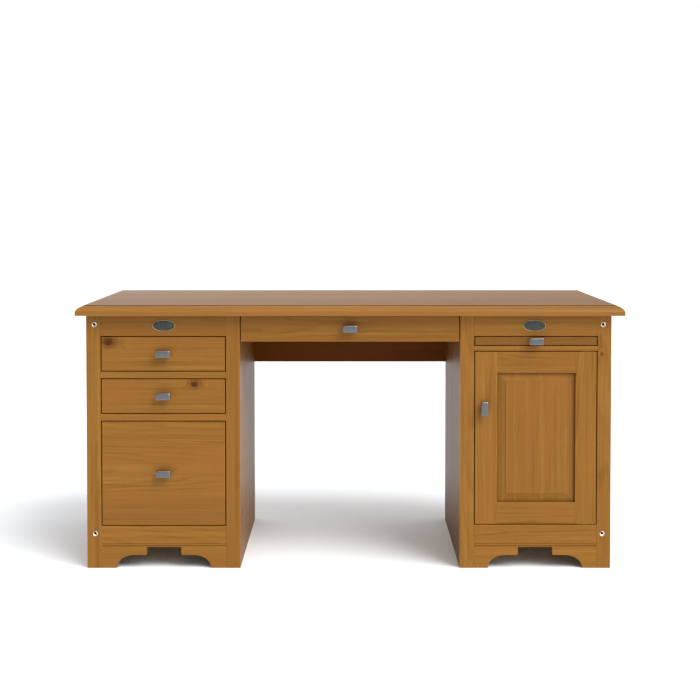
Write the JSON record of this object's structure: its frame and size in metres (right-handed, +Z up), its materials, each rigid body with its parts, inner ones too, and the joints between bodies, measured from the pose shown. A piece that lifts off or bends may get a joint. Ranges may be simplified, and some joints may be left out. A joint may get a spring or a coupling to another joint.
{
  "type": "pedestal writing desk",
  "caption": "Pedestal writing desk in stained pine with drawers, a pull-out writing slide, a panelled cupboard door and block pulls.",
  "frame": {"origin": "on the floor, under the centre of the top", "axes": "+X to the right as seen by someone facing the desk's front, +Y towards its back, +Z up"},
  "size_m": [1.6, 0.7, 0.776],
  "materials": {
    "pine_top": "stained pine, satin lacquer",
    "pine_frame": "stained pine, satin lacquer",
    "pine_side": "stained pine boards, satin lacquer",
    "drawer_wood": "unstained pine, sealed",
    "back_board": "thin board, unpolished",
    "pewter": "aged pewter, satin",
    "plaque_metal": "aged cast metal with a brighter rim",
    "bolt_nickel": "bright nickel",
    "hinge_brass": "satin"
  },
  "bodies": {
    "carcass": {"cupboard_shelf": "pine_side", "desk_top": "pine_top", "left_back_panel": "back_board", "left_bottom_board": "pine_side", "left_bottom_rail": "pine_frame", "left_centre_runner": "drawer_wood", "left_inner_side": "pine_side", "left_inner_stile": "pine_frame", "left_lower_bolt": "bolt_nickel", "left_lower_divider": "pine_frame", "left_outer_side": "pine_side", "left_outer_stile": "pine_frame", "left_plaque": "plaque_metal", "left_plinth": "pine_frame", "left_top_rail": "pine_frame", "left_upper_bolt": "bolt_nickel", "left_upper_divider": "pine_frame", "lower_hinge_frame_leaf": "hinge_brass", "modesty_panel": "pine_side", "right_back_panel": "back_board", "right_bottom_board": "pine_side", "right_bottom_rail": "pine_frame", "right_centre_runner": "drawer_wood", "right_inner_side": "pine_side", "right_inner_stile": "pine_frame", "right_lower_bolt": "bolt_nickel", "right_outer_side": "pine_side", "right_outer_stile": "pine_frame", "right_plaque": "plaque_metal", "right_plinth": "pine_frame", "right_top_rail": "pine_frame", "right_upper_bolt": "bolt_nickel", "slide_divider": "pine_frame", "upper_hinge_frame_leaf": "hinge_brass"},
    "upper_drawer": {"upper_drawer_bottom": "drawer_wood", "upper_drawer_box": "drawer_wood", "upper_drawer_front": "pine_frame", "upper_drawer_pull": "pewter"},
    "middle_drawer": {"middle_drawer_bottom": "drawer_wood", "middle_drawer_box": "drawer_wood", "middle_drawer_front": "pine_frame", "middle_drawer_pull": "pewter"},
    "file_drawer": {"file_drawer_bottom": "drawer_wood", "file_drawer_box": "drawer_wood", "file_drawer_front": "pine_frame", "file_drawer_pull": "pewter"},
    "centre_drawer": {"centre_drawer_bottom": "drawer_wood", "centre_drawer_box": "drawer_wood", "centre_drawer_front": "pine_frame", "centre_drawer_pull": "pewter"},
    "writing_slide": {"writing_slide_board": "pine_frame", "writing_slide_pull": "pewter"},
    "cupboard_door": {"cupboard_door_pull": "pewter", "door_bottom_rail": "pine_frame", "door_left_stile": "pine_frame", "door_panel": "pine_frame", "door_right_stile": "pine_frame", "door_top_rail": "pine_frame", "lower_hinge_door_leaf": "hinge_brass", "upper_hinge_door_leaf": "hinge_brass"}
  },
  "joints": [
    {"name": "upper_drawer_slide", "type": "slide", "parent": "carcass", "child": "upper_drawer", "axis": [0, -1, 0], "range_m": [0, 0.38]},
    {"name": "middle_drawer_slide", "type": "slide", "parent": "carcass", "child": "middle_drawer", "axis": [0, -1, 0], "range_m": [0, 0.38]},
    {"name": "file_drawer_slide", "type": "slide", "parent": "carcass", "child": "file_drawer", "axis": [0, -1, 0], "range_m": [0, 0.4]},
    {"name": "centre_drawer_slide", "type": "slide", "parent": "carcass", "child": "centre_drawer", "axis": [0, -1, 0], "range_m": [0, 0.33]},
    {"name": "writing_slide_pull_out", "type": "slide", "parent": "carcass", "child": "writing_slide", "axis": [0, -1, 0], "range_m": [0, 0.36]},
    {"name": "cupboard_door_hinge", "type": "hinge", "parent": "carcass", "child": "cupboard_door", "pos_m": [0.7155, -0.312, 0.1309], "axis": [0, 0, 1], "range_deg": [0, 105]}
  ]
}
